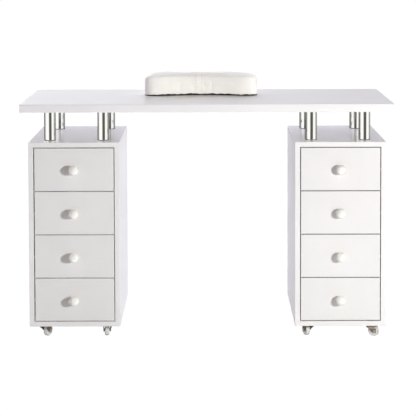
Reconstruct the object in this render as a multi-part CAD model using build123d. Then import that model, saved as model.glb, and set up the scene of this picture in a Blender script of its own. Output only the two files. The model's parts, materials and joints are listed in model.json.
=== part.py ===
from build123d import *
import os
import math

os.makedirs("parts", exist_ok=True)

# ------------------------------------------------------------------
# Manicure table: a long thin top carried on two four-drawer cabinets by
# chrome pillars, with castors under both cabinets and a loose hand cushion.
# Millimetres. +Z up, -Y is the side the drawers open to, +X to the right
# when facing the drawers. Origin: on the floor, under the centre of the top.
# ------------------------------------------------------------------

SIDES = {"left": -1, "right": 1}
FIT = 0.05              # clearance of a close joint
CUT = 1.0               # a cutter runs this far past the face it opens

# tabletop
TOP_L = 1200.0          # length along X
TOP_D = 450.0           # depth along Y
TOP_T = 26.0
TOP_CORNER_R = 3.0      # vertical corners
TOP_EDGE_R = 2.0        # upper and lower edges

# cabinets
CASTOR_H = 46.0         # floor to underside of cabinet
CAB_W = 294.0
CAB_D = 393.0
CAB_H = 600.0
CAB_OVERHANG = 23.0     # end of the top to outer side of the cabinet
BOARD = 16.0            # carcass and drawer-front board

# levels and places that follow
Z_CAB0 = CASTOR_H
Z_CAB1 = Z_CAB0 + CAB_H
Z_FLOOR = Z_CAB0 + BOARD                    # inside of the bottom board
Z_CEILING = Z_CAB1 - BOARD                  # inside of the top board
Y_FRONT = -CAB_D / 2
Y_BACK = CAB_D / 2
CAB_CX = TOP_L / 2 - CAB_OVERHANG - CAB_W / 2      # cabinet centre, +/-
OPEN_W = CAB_W - 2 * BOARD
OPEN_H = CAB_H - 2 * BOARD

# drawer stack, shared by the runners and the drawers
N_DRAWERS = 4
GAP = 3.0               # shadow gap round every drawer front
FRONT_W = OPEN_W - 2 * GAP
FRONT_H = (OPEN_H - (N_DRAWERS + 1) * GAP) / N_DRAWERS
BOX_LIFT = 12.0         # box underside above the underside of the front
BOX_SIDE_H = 105.0


def box(x0, x1, y0, y1, z0, z1):
    return Pos((x0 + x1) / 2, (y0 + y1) / 2, (z0 + z1) / 2) * Box(
        abs(x1 - x0), abs(y1 - y0), abs(z1 - z0)
    )


def vcyl(x, y, z0, z1, radius):
    """upright cylinder"""
    return Pos(x, y, (z0 + z1) / 2) * Cylinder(radius, z1 - z0)


def ycyl(x, z, y0, y1, radius):
    """cylinder along Y"""
    return Pos(x, (y0 + y1) / 2, z) * Rot(90, 0, 0) * Cylinder(radius, abs(y1 - y0))


def edges_at(shape, axis=None, **at):
    """Edges, parallel to the axis if one is given, centred at the stated X, Y or Z."""
    edges = shape.edges().filter_by(axis) if axis else shape.edges()
    return [
        edge for edge in edges
        if all(abs(getattr(edge.center(), name) - value) < 0.01 for name, value in at.items())
    ]


def save(name, *pieces):
    solids = []
    for piece in pieces:
        solids.extend(piece.solids())
    shape = solids[0] if len(solids) == 1 else Compound(solids)
    shape.label = name
    export_step(shape, "parts/" + name + ".step")


# ------------------------------------------------------------------
# chrome pillars: a tube with a plug in each end, a bolt up from the cabinet
# and a stud up into the top
PILLAR_R = 19.0
PILLAR_H = 100.0
PILLAR_WALL = 1.5
PILLAR_INSET_X = 60.0   # from the faces of the cabinet
PILLAR_INSET_Y = 62.0
PILLAR_INWARD = 3.5     # each group of four stands this much nearer the middle
PLUG_H = 16.0
LIP_T = 1.2             # thin lip of each end plug, under or over its tube
LIP_R = 18.6
BOLT_R = 4.0
BOLT_END = 1.0          # bolt and stud stop this far inside their plugs
BOLT_SHANK_DROP = 4.0   # shank runs this far below the cabinet top board
BOLT_HEAD_H = 4.0
BOLT_HEAD_R = 6.5       # centre to a flat
WASHER_T = 1.5
WASHER_R = 9.0
STUD_RISE = 16.0        # into the tabletop
STUD_HOLE = 17.0

Z_TOP0 = Z_CAB1 + PILLAR_H
Z_TOP1 = Z_TOP0 + TOP_T

pillar_places = [
    (
        s * (CAB_CX - PILLAR_INWARD) + i * (CAB_W / 2 - PILLAR_INSET_X),
        j * (CAB_D / 2 - PILLAR_INSET_Y),
    )
    for s in (-1, 1) for i in (-1, 1) for j in (-1, 1)
]


def pillar_tube(x, y):
    tube = vcyl(x, y, Z_CAB1 + LIP_T, Z_TOP0 - LIP_T, PILLAR_R)
    return tube - vcyl(x, y, Z_CAB1 - CUT, Z_TOP0 + CUT, PILLAR_R - PILLAR_WALL)


def end_plug(x, y, z0, z_lip):
    z1 = z0 + PLUG_H
    plug = vcyl(x, y, z0, z1, PILLAR_R - PILLAR_WALL - FIT)
    plug += vcyl(x, y, z_lip, z_lip + LIP_T, LIP_R)
    return plug - vcyl(x, y, z0 - CUT, z1 + CUT, BOLT_R + FIT)


def pillar_bolt(x, y):
    """bolt with its hexagon head and washer face under the cabinet top board"""
    bolt = vcyl(x, y, Z_CEILING - BOLT_SHANK_DROP, Z_CAB1 + PLUG_H - BOLT_END, BOLT_R)
    bolt += vcyl(x, y, Z_CEILING - WASHER_T, Z_CEILING, WASHER_R)
    hexagon = RegularPolygon(BOLT_HEAD_R, 6, major_radius=False)
    head = extrude(Pos(x, y, Z_CEILING - WASHER_T - BOLT_HEAD_H) * hexagon, BOLT_HEAD_H)
    return bolt + head


tubes, plugs, bolts = [], [], []
for x, y in pillar_places:
    tubes.append(pillar_tube(x, y))
    plugs.append(end_plug(x, y, Z_CAB1, Z_CAB1))
    plugs.append(end_plug(x, y, Z_TOP0 - PLUG_H, Z_TOP0 - LIP_T))
    bolts.append(pillar_bolt(x, y))
    bolts.append(vcyl(x, y, Z_TOP0 - PLUG_H + BOLT_END, Z_TOP0 + STUD_RISE, BOLT_R))
save("pillar_tubes", *tubes)
save("pillar_end_plugs", *plugs)
save("pillar_bolts_and_studs", *bolts)


# ------------------------------------------------------------------
# tabletop: one board, softened edges, eight blind holes for the pillar studs
def tabletop():
    top = box(-TOP_L / 2, TOP_L / 2, -TOP_D / 2, TOP_D / 2, Z_TOP0, Z_TOP1)
    top = fillet(top.edges().filter_by(Axis.Z), TOP_CORNER_R)
    top = fillet(edges_at(top, Z=Z_TOP1), TOP_EDGE_R)
    top = fillet(edges_at(top, Z=Z_TOP0), TOP_EDGE_R)
    for x, y in pillar_places:
        top -= vcyl(x, y, Z_TOP0 - CUT, Z_TOP0 + STUD_HOLE, BOLT_R + FIT)
    return top


save("tabletop", tabletop())

# ------------------------------------------------------------------
# castor plates, each with four screws up into the bottom board
CASTOR_INSET = 46.0     # swivel axis from the faces of the cabinet
PLATE_S = 40.0
PLATE_T = 2.0
PLATE_CORNER_R = 5.0
PLATE_HOLE = 15.0       # half the hole spacing
PLATE_HOLE_R = 2.1
CUP_R = 13.0            # raceway cup
CUP_DROP = 5.0          # drops are measured down from the cabinet
KINGPIN_R = 4.0
KINGPIN_DROP = 9.0
RIVET_R = 6.5
RIVET_TOP_DROP = 7.4
RIVET_DROP = 9.2
PLATE_SCREW_R = 1.8
PLATE_SCREW_RISE = 11.0
PLATE_SCREW_HEAD_R = 3.5
PLATE_SCREW_HEAD_H = 1.6
PLATE_SCREW_HEAD_EDGE_R = 1.0
PILOT_R = 1.85          # screw holes in the bottom board
PILOT_RISE = 12.0


def castor_places(sign):
    """swivel axes in the order front -X, front +X, back -X, back +X"""
    dx = CAB_W / 2 - CASTOR_INSET
    dy = CAB_D / 2 - CASTOR_INSET
    return [(sign * CAB_CX + i * dx, j * dy) for j in (-1, 1) for i in (-1, 1)]


def plate_screw_places(x, y):
    return [(x + i * PLATE_HOLE, y + j * PLATE_HOLE) for i in (-1, 1) for j in (-1, 1)]


def castor_plate(x, y):
    half = PLATE_S / 2
    plate = box(x - half, x + half, y - half, y + half, Z_CAB0 - PLATE_T, Z_CAB0)
    plate = fillet(plate.edges().filter_by(Axis.Z), PLATE_CORNER_R)
    plate += vcyl(x, y, Z_CAB0 - CUP_DROP, Z_CAB0 - PLATE_T, CUP_R)
    plate += vcyl(x, y, Z_CAB0 - KINGPIN_DROP, Z_CAB0 - CUP_DROP, KINGPIN_R)
    plate += vcyl(x, y, Z_CAB0 - RIVET_DROP, Z_CAB0 - RIVET_TOP_DROP, RIVET_R)
    for hole_x, hole_y in plate_screw_places(x, y):
        plate -= vcyl(hole_x, hole_y, Z_CAB0 - PLATE_T - CUT, Z_CAB0 + CUT, PLATE_HOLE_R)
    return plate


def plate_screw(x, y):
    z_seat = Z_CAB0 - PLATE_T
    z_head = z_seat - PLATE_SCREW_HEAD_H
    screw = vcyl(x, y, z_seat, Z_CAB0 + PLATE_SCREW_RISE, PLATE_SCREW_R)
    head = vcyl(x, y, z_head, z_seat, PLATE_SCREW_HEAD_R)
    return screw + fillet(edges_at(head, Z=z_head), PLATE_SCREW_HEAD_EDGE_R)


castor_centres = [place for sign in SIDES.values() for place in castor_places(sign)]
save("castor_plates", *[castor_plate(x, y) for x, y in castor_centres])
save("castor_plate_screws", *[
    plate_screw(*place) for x, y in castor_centres for place in plate_screw_places(x, y)
])

# ------------------------------------------------------------------
# cabinet carcasses
CORNER_R = 1.5          # softened outer edges
BACK_T = 4.0            # back panel
BACK_CLEAR = 0.5        # back panel to the edge of its rebate
REBATE_W = 8.0          # rebate that holds the back panel
REBATE_D = 5.0
BOLT_HOLE_CLEAR = 0.25  # radial
DOWEL_R = 4.0
DOWEL_HOLE_R = 4.02
DOWEL_Y = (-150.0, 0.0, 150.0)
DOWEL_IN_END = 10.0     # hole depth in the top or bottom board
DOWEL_IN_SIDE = 20.0    # hole depth in the side board
DOWEL_END_CLEAR = 0.5


def end_board(x0, x1, z0, z1, z_outer, rebate):
    """top or bottom board; these run over the ends of the side boards"""
    board = box(x0, x1, Y_FRONT, Y_BACK, z0, z1)
    board = fillet(board.edges().filter_by(Axis.Z), CORNER_R)
    board = fillet(edges_at(board, Z=z_outer), CORNER_R)
    return board - rebate


def side_board(x_outer, x_inner, rebate):
    board = box(x_outer, x_inner, Y_FRONT, Y_BACK, Z_FLOOR, Z_CEILING)
    board = fillet(
        edges_at(board, Axis.Z, X=x_outer, Y=Y_FRONT)
        + edges_at(board, Axis.Z, X=x_outer, Y=Y_BACK),
        CORNER_R,
    )
    return board - rebate


def carcass(side, sign):
    """Save the five boards of one cabinet and return its dowels."""
    x0 = sign * CAB_CX - CAB_W / 2
    x1 = sign * CAB_CX + CAB_W / 2
    open_x0, open_x1 = x0 + BOARD, x1 - BOARD
    rebate = box(
        open_x0 - REBATE_W, open_x1 + REBATE_W, Y_BACK - REBATE_D, Y_BACK + CUT,
        Z_FLOOR - REBATE_W, Z_CEILING + REBATE_W,
    )
    top = end_board(x0, x1, Z_CEILING, Z_CAB1, Z_CAB1, rebate)
    bottom = end_board(x0, x1, Z_CAB0, Z_FLOOR, Z_CAB0, rebate)
    reach = REBATE_W - BACK_CLEAR
    back = box(
        open_x0 - reach, open_x1 + reach,
        Y_BACK - REBATE_D, Y_BACK - REBATE_D + BACK_T,
        Z_FLOOR - reach, Z_CEILING + reach,
    )

    for x, y in pillar_places:
        if x0 < x < x1:
            top -= vcyl(x, y, Z_CEILING - CUT, Z_CAB1 + CUT, BOLT_R + BOLT_HOLE_CLEAR)

    # glued dowels hold the side boards to the top and bottom boards
    dowels = []
    for x_outer, x_inner in ((x0, open_x0), (x1, open_x1)):
        upright = side_board(x_outer, x_inner, rebate)
        x = (x_outer + x_inner) / 2
        for y in DOWEL_Y:
            z0, z1 = Z_CEILING - DOWEL_IN_SIDE, Z_CEILING + DOWEL_IN_END
            hole = vcyl(x, y, z0, z1, DOWEL_HOLE_R)
            dowels.append(vcyl(x, y, z0 + DOWEL_END_CLEAR, z1 - DOWEL_END_CLEAR, DOWEL_R))
            top -= hole
            upright -= hole
            z0, z1 = Z_FLOOR - DOWEL_IN_END, Z_FLOOR + DOWEL_IN_SIDE
            hole = vcyl(x, y, z0, z1, DOWEL_HOLE_R)
            dowels.append(vcyl(x, y, z0 + DOWEL_END_CLEAR, z1 - DOWEL_END_CLEAR, DOWEL_R))
            bottom -= hole
            upright -= hole
        # outer is the side away from the middle of the table
        place = "outer" if (x_outer == x0) == (sign < 0) else "inner"
        save("%s_cabinet_%s_side_board" % (side, place), upright)

    for castor in castor_places(sign):
        for x, y in plate_screw_places(*castor):
            bottom -= vcyl(x, y, Z_CAB0 - CUT, Z_CAB0 + PILOT_RISE, PILOT_R)

    save(side + "_cabinet_top_board", top)
    save(side + "_cabinet_bottom_board", bottom)
    save(side + "_cabinet_back_panel", back)
    return dowels


save("carcass_dowels", *[
    dowel for side, sign in SIDES.items() for dowel in carcass(side, sign)
])

# ------------------------------------------------------------------
# runner strips on the inner faces of the side boards
RUNNER_H = 10.0
RUNNER_W = 9.5
RUNNER_L = 326.0
RUNNER_SETBACK = 4.0    # behind the drawer front
RUNNER_EDGE_R = 2.5


def front_z(number):
    """underside of a drawer front, counted 1..4 from the top"""
    return Z_CEILING - number * (FRONT_H + GAP)


def runner_strip(x_wall, inward, number):
    x_free = x_wall + inward * RUNNER_W
    y0 = Y_FRONT + BOARD + RUNNER_SETBACK
    z = front_z(number) + BOX_LIFT + BOX_SIDE_H / 2
    strip = box(x_wall, x_free, y0, y0 + RUNNER_L, z - RUNNER_H / 2, z + RUNNER_H / 2)
    return fillet(edges_at(strip, Axis.Z, X=x_free), RUNNER_EDGE_R)


save("drawer_runner_strips", *[
    runner_strip(sign * CAB_CX - inward * OPEN_W / 2, inward, number)
    for sign in SIDES.values()
    for number in range(1, N_DRAWERS + 1)
    for inward in (1, -1)
])

# ------------------------------------------------------------------
# drawers: front, box and ball knob
FRONT_EDGE_R = 1.2
BOX_SIDE_T = 12.0
BOX_SIDE_GAP = 3.0      # box side to carcass side
BOX_LEN = 340.0         # box length behind the drawer front
HOUSING = 6.0           # depth of the housing that holds a box side
GROOVE_H = 10.6         # runner groove
GROOVE_D = 7.0
BOTTOM_T = 3.0
BOTTOM_LIFT = 8.0       # above the underside of the box sides
BOTTOM_GROOVE = 5.0     # depth of the groove round the bottom
BOTTOM_TONGUE = 4.8     # how far the bottom enters it
BOTTOM_REAR_GAP = 1.0   # short of the rear ends of the sides
BOX_BACK_T = 12.0
BOX_BACK_INSET = 8.0    # from the rear ends of the sides
BOX_BACK_DROP = 8.0     # below the upper edges of the sides
BOX_BACK_HOUSING = 4.0

KNOB_R = 16.0
KNOB_STAND = 20.0       # ball centre in front of the drawer front
NECK_R = 7.0
COLLAR_R = NECK_R + 1.5
COLLAR_T = 1.6
KNOB_BORE = 18.0
KNOB_BORE_CLEAR = 0.02  # radial
KNOB_SCREW_L = 17.0     # in front of the drawer front
SCREW_R = 2.0
SCREW_HOLE_CLEAR = 0.1  # radial
SCREW_HEAD_R = 4.2
SCREW_HEAD_H = 2.2
SCREW_OVERLAP = 0.5     # shank runs this far into its head

BOX_HALF = OPEN_W / 2 - BOX_SIDE_GAP        # centre to outside of the box
BOX_INNER = BOX_HALF - BOX_SIDE_T           # centre to inside of the box
BOX_Y0 = Y_FRONT + BOARD                    # back face of the drawer front
BOX_Y1 = BOX_Y0 + BOX_LEN                   # rear of the box


def drawer_front(cx, z0):
    z1 = z0 + FRONT_H
    side_z0 = z0 + BOX_LIFT
    bottom_z0 = side_z0 + BOTTOM_LIFT
    groove_x = BOX_INNER + BOTTOM_GROOVE
    front = box(cx - FRONT_W / 2, cx + FRONT_W / 2, Y_FRONT, BOX_Y0, z0, z1)
    front = fillet(edges_at(front, Y=Y_FRONT), FRONT_EDGE_R)
    for i in (-1, 1):
        front -= box(
            cx + i * BOX_HALF, cx + i * (BOX_INNER - FIT),
            BOX_Y0 - HOUSING - FIT, BOX_Y0 + CUT,
            side_z0 - FIT, side_z0 + BOX_SIDE_H + FIT,
        )
    front -= box(
        cx - groove_x, cx + groove_x, BOX_Y0 - BOTTOM_GROOVE, BOX_Y0 + CUT,
        bottom_z0 - FIT, bottom_z0 + BOTTOM_T + FIT,
    )
    return front - ycyl(
        cx, (z0 + z1) / 2, Y_FRONT - CUT, BOX_Y0 + CUT, SCREW_R + SCREW_HOLE_CLEAR
    )


def box_side(cx, i, z0):
    """side of a drawer box, on -X for i = -1 and on +X for i = 1"""
    z1 = z0 + BOX_SIDE_H
    z_mid = (z0 + z1) / 2
    bottom_z0 = z0 + BOTTOM_LIFT
    bottom_z1 = bottom_z0 + BOTTOM_T
    y0 = BOX_Y0 - HOUSING
    side = box(cx + i * BOX_HALF, cx + i * BOX_INNER, y0, BOX_Y1, z0, z1)
    # runner groove along the outside
    side -= box(
        cx + i * (BOX_HALF + CUT), cx + i * (BOX_HALF - GROOVE_D), y0 - CUT, BOX_Y1 + CUT,
        z_mid - GROOVE_H / 2, z_mid + GROOVE_H / 2,
    )
    # groove for the bottom
    side -= box(
        cx + i * (BOX_INNER - CUT), cx + i * (BOX_INNER + BOTTOM_GROOVE),
        y0 - CUT, BOX_Y1 + CUT, bottom_z0 - FIT, bottom_z1 + FIT,
    )
    # housing for the back board
    return side - box(
        cx + i * (BOX_INNER - CUT), cx + i * (BOX_INNER + BOX_BACK_HOUSING),
        BOX_Y1 - BOX_BACK_INSET - BOX_BACK_T - FIT, BOX_Y1 - BOX_BACK_INSET + FIT,
        bottom_z1 + FIT, z1 + CUT,
    )


def drawer_box(cx, z0):
    """two sides, back and bottom"""
    bottom_z0 = z0 + BOTTOM_LIFT
    bottom_z1 = bottom_z0 + BOTTOM_T
    back_x = BOX_INNER + BOX_BACK_HOUSING - FIT
    back_y = BOX_Y1 - BOX_BACK_INSET
    back = box(
        cx - back_x, cx + back_x, back_y - BOX_BACK_T, back_y,
        bottom_z1 + 2 * FIT, z0 + BOX_SIDE_H - BOX_BACK_DROP,
    )
    bottom_x = BOX_INNER + BOTTOM_TONGUE
    bottom = box(
        cx - bottom_x, cx + bottom_x, BOX_Y0 - BOTTOM_TONGUE, BOX_Y1 - BOTTOM_REAR_GAP,
        bottom_z0, bottom_z1,
    )
    return box_side(cx, -1, z0), box_side(cx, 1, z0), back, bottom


def knob_and_screw(cx, z):
    """ball knob on a short neck, held by a screw from inside the drawer"""
    y_ball = Y_FRONT - KNOB_STAND
    knob = Pos(cx, y_ball, z) * Sphere(KNOB_R)
    knob += ycyl(cx, z, y_ball, Y_FRONT, NECK_R)
    knob += ycyl(cx, z, Y_FRONT - COLLAR_T, Y_FRONT, COLLAR_R)
    knob -= ycyl(cx, z, Y_FRONT - KNOB_BORE, Y_FRONT + CUT, SCREW_R + KNOB_BORE_CLEAR)
    screw = ycyl(cx, z, Y_FRONT - KNOB_SCREW_L, BOX_Y0 + SCREW_OVERLAP, SCREW_R)
    screw += ycyl(cx, z, BOX_Y0, BOX_Y0 + SCREW_HEAD_H, SCREW_HEAD_R)
    return knob, screw


for side, sign in SIDES.items():
    for number in range(1, N_DRAWERS + 1):
        name = "drawer_%s%d_" % (side[0], number)
        cx, z0 = sign * CAB_CX, front_z(number)
        save(name + "front", drawer_front(cx, z0))
        save(name + "box", *drawer_box(cx, z0 + BOX_LIFT))
        save(name + "knob", *knob_and_screw(cx, z0 + FRONT_H / 2))

# ------------------------------------------------------------------
# castors: fork with its axle rivet, and wheel, all built about the swivel
# axis with the wheel trailing along +X, then turned to where they stand
WHEEL_R = 18.0
WHEEL_W = 14.0
WHEEL_EDGE_R = 4.0
DISH_R = 12.0           # shallow dish in each face of the wheel
DISH_D = 1.8
HUB_R = 5.2
HUB_W = 18.0
AXLE_R = 3.0
AXLE_HOLE_CLEAR = 0.02  # radial, in the fork
CAP_R = 4.6             # rounded end of the axle rivet
CAP_T = 1.6
CAP_EDGE_R = 1.0
RUN_CLEAR = 0.05        # radial running clearance of every turning fit
TRAIL = 14.0            # swivel axis to wheel axis
FORK_T = 2.0
CROWN_R = 14.0
CROWN_Z1 = CASTOR_H - CUP_DROP - 0.2        # just clear of the raceway cup
CROWN_Z0 = CROWN_Z1 - FORK_T
LEG_Y = HUB_W / 2 + 0.4                     # inner face of a leg at the axle
FLARE_Y = 12.0                              # inner face of a leg at the crown
LEG_EYE_R = 6.6                             # round end of a leg about the axle
AXLE_END = LEG_Y + FORK_T
THROUGH = 20.0                              # half length of the axle-hole cutters
# side view of a leg, X from the swivel axis, Z
LEG_SIDE = [
    (-14.0, CROWN_Z1), (-14.0, 33.0), (8.9, 13.8), (19.1, 13.8), (19.8, 21.0),
    (14.0, 33.0), (14.0, CROWN_Z1),
]
# section of a leg, Y from the middle of the fork, Z
LEG_SECTION = [
    (FLARE_Y, CROWN_Z1), (FLARE_Y, 33.0), (LEG_Y, 26.0), (LEG_Y, 8.0),
    (LEG_Y + FORK_T, 8.0), (LEG_Y + FORK_T, 26.4), (FLARE_Y + FORK_T, 33.4),
    (FLARE_Y + FORK_T, CROWN_Z1),
]
# trailing directions in the order of castor_places, degrees from +X
CASTOR_ANGLES = {
    "left": (63.0, 97.0, 40.0, 78.0),
    "right": (112.0, 2.0, 128.0, 24.0),
}


def axle_cyl(y0, y1, radius):
    return ycyl(TRAIL, WHEEL_R, y0, y1, radius)


def fork_leg(i, slab):
    section = Polygon(*[(i * y, z) for y, z in LEG_SECTION], align=None)
    return extrude(Plane.YZ * section, 40, both=True) & slab


def castor_fork():
    side_view = Polygon(*LEG_SIDE, align=None) + Pos(TRAIL, WHEEL_R) * Circle(LEG_EYE_R)
    slab = extrude(Plane.XZ * side_view, 20, both=True)
    fork = vcyl(0, 0, CROWN_Z0, CROWN_Z1, CROWN_R) + fork_leg(1, slab) + fork_leg(-1, slab)
    fork -= vcyl(0, 0, CROWN_Z0 - CUT, CROWN_Z1 + CUT, KINGPIN_R + RUN_CLEAR)
    return fork - axle_cyl(-THROUGH, THROUGH, AXLE_R + AXLE_HOLE_CLEAR)


def castor_axle():
    axle = axle_cyl(-AXLE_END, AXLE_END, AXLE_R)
    for i in (-1, 1):
        y_cap = i * (AXLE_END + CAP_T)
        cap = axle_cyl(i * AXLE_END, y_cap, CAP_R)
        axle += fillet(edges_at(cap, Y=y_cap), CAP_EDGE_R)
    return axle


def castor_wheel():
    wheel = axle_cyl(-WHEEL_W / 2, WHEEL_W / 2, WHEEL_R)
    wheel = fillet(wheel.edges().filter_by(GeomType.CIRCLE), WHEEL_EDGE_R)
    for i in (-1, 1):
        wheel -= axle_cyl(i * (WHEEL_W / 2 - DISH_D), i * (WHEEL_W / 2 + CUT), DISH_R)
    wheel += axle_cyl(-HUB_W / 2, HUB_W / 2, HUB_R)
    return wheel - axle_cyl(-THROUGH, THROUGH, AXLE_R + RUN_CLEAR)


fork, axle, wheel = castor_fork(), castor_axle(), castor_wheel()
for side, sign in SIDES.items():
    standing = zip(castor_places(sign), CASTOR_ANGLES[side])
    for number, ((x, y), angle) in enumerate(standing, start=1):
        at = Pos(x, y, 0) * Rot(0, 0, angle)
        name = "castor_%s%d_" % (side[0], number)
        save(name + "fork", at * fork, at * axle)
        save(name + "wheel", at * wheel)

# ------------------------------------------------------------------
# hand cushion: upholstered pad on a thin black base board
PAD_X = -21.0           # cushion centre along the top
BASE_T = 6.0
BASE_INSET = 3.5
PAD_T = 60.0
PAD_TOP_R = 10.0
PAD_UNDER_R = 4.0
# half plan outline, X from the cushion centre, Y
PAD_OUTLINE = [
    (0.0, 40.0), (60.0, 35.0), (110.0, 23.5), (148.0, 15.0), (172.0, 17.5),
    (187.0, 30.0), (193.5, 52.0), (193.5, 84.0), (189.0, 112.0),
    (176.0, 130.0), (148.0, 139.5), (100.0, 140.5), (50.0, 138.0), (0.0, 136.5),
]
Z_PAD0 = Z_TOP1 + BASE_T
Z_PAD1 = Z_PAD0 + PAD_T


def inset(points, distance):
    """the closed outline moved inwards, square to the chord between neighbours"""
    moved = []
    for n, (x, y) in enumerate(points):
        xa, ya = points[n - 1]
        xb, yb = points[(n + 1) % len(points)]
        dx, dy = xb - xa, yb - ya
        chord = math.hypot(dx, dy)
        moved.append((x - dy / chord * distance, y + dx / chord * distance))
    return moved


def prism(points, z0, height):
    plan = make_face(Spline(*points, periodic=True))
    return extrude(Pos(0, 0, z0) * plan, height)


outline = [(PAD_X + x, y) for x, y in PAD_OUTLINE]
outline += [(PAD_X - x, y) for x, y in reversed(PAD_OUTLINE[1:-1])]
save("cushion_base_board", prism(inset(outline, BASE_INSET), Z_TOP1, BASE_T))

pad = prism(outline, Z_PAD0, PAD_T)
pad = fillet(edges_at(pad, Z=Z_PAD1), PAD_TOP_R)
pad = fillet(edges_at(pad, Z=Z_PAD0), PAD_UNDER_R)
save("cushion_pad", pad)
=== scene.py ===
import json
import math

import bmesh
import bpy
import numpy as np
from mathutils import Matrix, Vector
from mathutils.bvhtree import BVHTree

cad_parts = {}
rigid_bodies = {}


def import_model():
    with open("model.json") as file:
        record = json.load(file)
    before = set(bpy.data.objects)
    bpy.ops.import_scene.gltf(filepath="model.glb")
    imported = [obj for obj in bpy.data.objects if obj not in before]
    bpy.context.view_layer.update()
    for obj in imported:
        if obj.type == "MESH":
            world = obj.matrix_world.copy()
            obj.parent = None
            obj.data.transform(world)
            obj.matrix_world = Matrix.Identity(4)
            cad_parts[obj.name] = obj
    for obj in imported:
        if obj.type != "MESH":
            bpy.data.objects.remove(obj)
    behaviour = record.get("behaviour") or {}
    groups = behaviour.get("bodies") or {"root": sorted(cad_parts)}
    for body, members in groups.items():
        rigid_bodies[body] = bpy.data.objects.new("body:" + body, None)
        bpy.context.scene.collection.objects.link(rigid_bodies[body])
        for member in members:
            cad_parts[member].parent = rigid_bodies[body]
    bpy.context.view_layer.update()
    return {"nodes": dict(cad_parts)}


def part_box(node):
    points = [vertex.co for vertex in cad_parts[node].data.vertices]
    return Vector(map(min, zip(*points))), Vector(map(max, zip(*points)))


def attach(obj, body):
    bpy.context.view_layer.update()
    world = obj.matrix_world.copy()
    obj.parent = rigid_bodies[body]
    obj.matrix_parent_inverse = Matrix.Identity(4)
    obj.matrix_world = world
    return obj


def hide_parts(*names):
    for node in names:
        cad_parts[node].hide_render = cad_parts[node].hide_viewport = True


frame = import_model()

NODES = frame["nodes"]
scene = bpy.context.scene

# ---------------------------------------------------------------- light levels
# soft room light: radiance from each side, weighted by the squared direction cosines
FILL_PX = (0.0, 0.0, 0.0)
FILL_NX = (1.00, 0.96, 1.02)
FILL_PY = (4.56, 4.54, 5.3)
FILL_NY = (0.0, 0.0, 0.0)
FILL_PZ = (0.1, 0.06, 0.0)
FILL_NZ = (1.05, 0.56, 0.66)
# the same for every other viewpoint, an even studio
EVEN_PX = (0.62, 0.62, 0.63)
EVEN_NX = (0.80, 0.80, 0.82)
EVEN_PY = (1.10, 1.10, 1.11)
EVEN_NY = (0.60, 0.60, 0.61)
EVEN_PZ = (1.05, 1.04, 1.03)
EVEN_NZ = (0.55, 0.55, 0.55)
# key light, falling off between 1/r and constant
KEY_AT = (1.52, -2.05, 0.82)
KEY_SIZE = 0.32
KEY_LINEAR = (1.515, 1.525, 1.425)
KEY_CONSTANT = (0.145, 0.172, 0.222)
# what polished metal and glossy coats see
GLOSS_ON = 1.0
UNDER_GLOSS = 0.6
SKY_GLOSS = (1.06, 1.08, 1.08)

MM = 0.001


# ---------------------------------------------------------------- mesh helpers
def link(name, mesh, mats, body, replaces=()):
    ob = bpy.data.objects.new(name, mesh)
    scene.collection.objects.link(ob)
    for m in mats if isinstance(mats, (list, tuple)) else [mats]:
        mesh.materials.append(m)
    if body is not None:
        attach(ob, body)
        if replaces:
            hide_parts(*replaces)
    return ob


def make_mesh(name, verts, faces, angle=38.0):
    me = bpy.data.meshes.new(name)
    me.from_pydata([tuple(v) for v in verts], [], [tuple(f) for f in faces])
    me.validate()
    bm = bmesh.new()
    bm.from_mesh(me)
    bmesh.ops.remove_doubles(bm, verts=bm.verts, dist=1e-7)
    bmesh.ops.recalc_face_normals(bm, faces=bm.faces)
    bm.to_mesh(me)
    bm.free()
    me.polygons.foreach_set("use_smooth", [True] * len(me.polygons))
    if angle is not None:
        me.set_sharp_from_angle(angle=math.radians(angle))
    me.update()
    return me


def merge(parts):
    """(verts, faces) lists joined into one"""
    verts, faces = [], []
    for v, f in parts:
        n = len(verts)
        verts.extend(tuple(p) for p in v)
        faces.extend(tuple(i + n for i in q) for q in f)
    return verts, faces


def lathe(profile, n, closed=False, origin=(0, 0, 0), axis="Z", wobble=None):
    """profile of (radius, height) turned about an axis; a point of zero radius becomes a pole"""
    verts, faces, rings = [], [], []
    for r, h in profile:
        if r <= 1e-9:
            rings.append([len(verts)])
            verts.append((0.0, 0.0, h))
            continue
        ring = []
        for k in range(n):
            a = 2 * math.pi * k / n
            rr = r if wobble is None else r + wobble(a, r, h)
            ring.append(len(verts))
            verts.append((rr * math.cos(a), rr * math.sin(a), h))
        rings.append(ring)
    pairs = list(zip(rings, rings[1:]))
    if closed:
        pairs.append((rings[-1], rings[0]))
    for a, b in pairs:
        if len(a) == 1 and len(b) == 1:
            continue
        for k in range(n):
            j = (k + 1) % n
            if len(a) == 1:
                faces.append((a[0], b[k], b[j]))
            elif len(b) == 1:
                faces.append((a[k], a[j], b[0]))
            else:
                faces.append((a[k], a[j], b[j], b[k]))
    ox, oy, oz = origin
    out = []
    for x, y, z in verts:
        if axis == "Z":
            p = (x, y, z)
        elif axis == "Y":
            p = (x, z, -y)
        elif axis == "-Y":
            p = (x, -z, y)
        else:
            p = (z, x, y)
        out.append((p[0] + ox, p[1] + oy, p[2] + oz))
    return out, faces


def arc(cx, cy, r, a0, a1, n):
    """points on an arc, angles in degrees"""
    return [
        (cx + r * math.cos(math.radians(a0 + (a1 - a0) * i / n)),
         cy + r * math.sin(math.radians(a0 + (a1 - a0) * i / n)))
        for i in range(n + 1)
    ]


def hull(points):
    pts = sorted(set((round(x, 5), round(y, 5)) for x, y in points))

    def half(seq):
        out = []
        for p in seq:
            while len(out) > 1 and (
                (out[-1][0] - out[-2][0]) * (p[1] - out[-2][1])
                - (out[-1][1] - out[-2][1]) * (p[0] - out[-2][0])
            ) <= 0:
                out.pop()
            out.append(p)
        return out

    a, b = half(pts), half(reversed(pts))
    return a[:-1] + b[:-1]


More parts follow.
